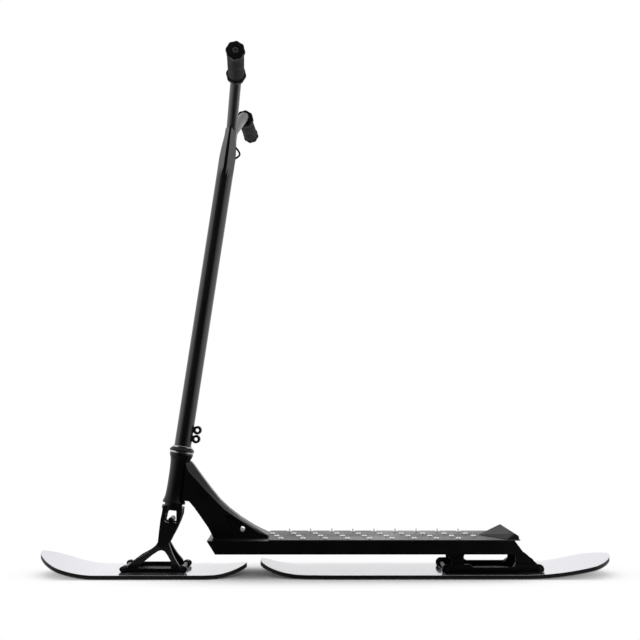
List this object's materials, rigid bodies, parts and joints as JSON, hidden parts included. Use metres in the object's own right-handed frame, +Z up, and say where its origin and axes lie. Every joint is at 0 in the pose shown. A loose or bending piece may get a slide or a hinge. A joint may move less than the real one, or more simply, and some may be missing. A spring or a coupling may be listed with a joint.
{
  "type": "snow scooter",
  "caption": "Kick-scooter frame on skis: a studded deck on a long rear ski and a raked stem with Y handlebar that steers a short front ski.",
  "frame": {"origin": "centre of the bounding box on the snow, at the underside of the skis", "axes": "+X from the front ski's nose to the rear ski's tail, +Z up, -Y the rider's left side"},
  "size_m": [1.172, 0.6008, 1.0202],
  "materials": {
    "black_metal": "satin black powder coat",
    "black_plastic": "matt moulded",
    "black_rubber": "moulded rubber",
    "silver_metal": "zinc-plated, polished edges",
    "plate_metal": "brushed, pressed studs",
    "ski_sheet": "glossy top sheet"
  },
  "bodies": {
    "chassis": {"deck_box": "black_metal", "neck": "black_metal", "head_tube": "black_metal", "grip_plate": "plate_metal", "tail_wedge": "black_plastic", "rear_bracket": "black_metal", "bracket_bolt_1": "silver_metal", "bracket_bolt_2": "silver_metal", "bracket_bolt_3": "silver_metal", "bracket_bolt_4": "silver_metal", "rear_ski": "ski_sheet", "rear_ski_base": "black_metal", "rear_base_screw_1": "silver_metal", "rear_base_screw_2": "silver_metal", "rear_base_screw_3": "silver_metal", "rear_base_screw_4": "silver_metal", "rear_mount_front_axle": "black_metal", "rear_mount_front_nut": "black_metal", "rear_mount_front_spacer": "black_metal", "rear_mount_rear_axle": "black_metal", "rear_mount_rear_nut": "black_metal", "rear_mount_rear_spacer": "black_metal", "upper_bearing": "silver_metal", "lower_bearing": "silver_metal"},
    "steering": {"fork": "black_metal", "front_ski": "ski_sheet", "front_ski_base": "black_metal", "front_base_screw_1": "silver_metal", "front_base_screw_2": "silver_metal", "front_base_screw_3": "silver_metal", "front_base_screw_4": "silver_metal", "front_mount_front_axle": "black_metal", "front_mount_front_nut": "black_metal", "front_mount_front_spacer": "black_metal", "front_mount_rear_axle": "black_metal", "front_mount_rear_nut": "black_metal", "front_mount_rear_spacer": "black_metal", "crown_race": "black_metal", "bearing_cover_ring": "silver_metal", "headset_cap": "black_plastic", "spacer_ring": "silver_metal", "stem_tube": "black_metal", "leash_loop": "black_metal", "star_nut": "silver_metal", "compression_cap": "silver_metal", "compression_bolt": "silver_metal", "left_riser": "black_metal", "left_grip": "black_rubber", "left_bar_plug": "black_plastic", "left_plug_screw": "silver_metal", "right_riser": "black_metal", "right_grip": "black_rubber", "right_bar_plug": "black_plastic", "right_plug_screw": "silver_metal"}
  },
  "joints": [
    {"name": "steering_turn", "type": "hinge", "parent": "chassis", "child": "steering", "pos_m": [-0.3017, 0, 0.246], "axis": [0.1409, 0, 0.99], "range_deg": [-90, 90]}
  ]
}
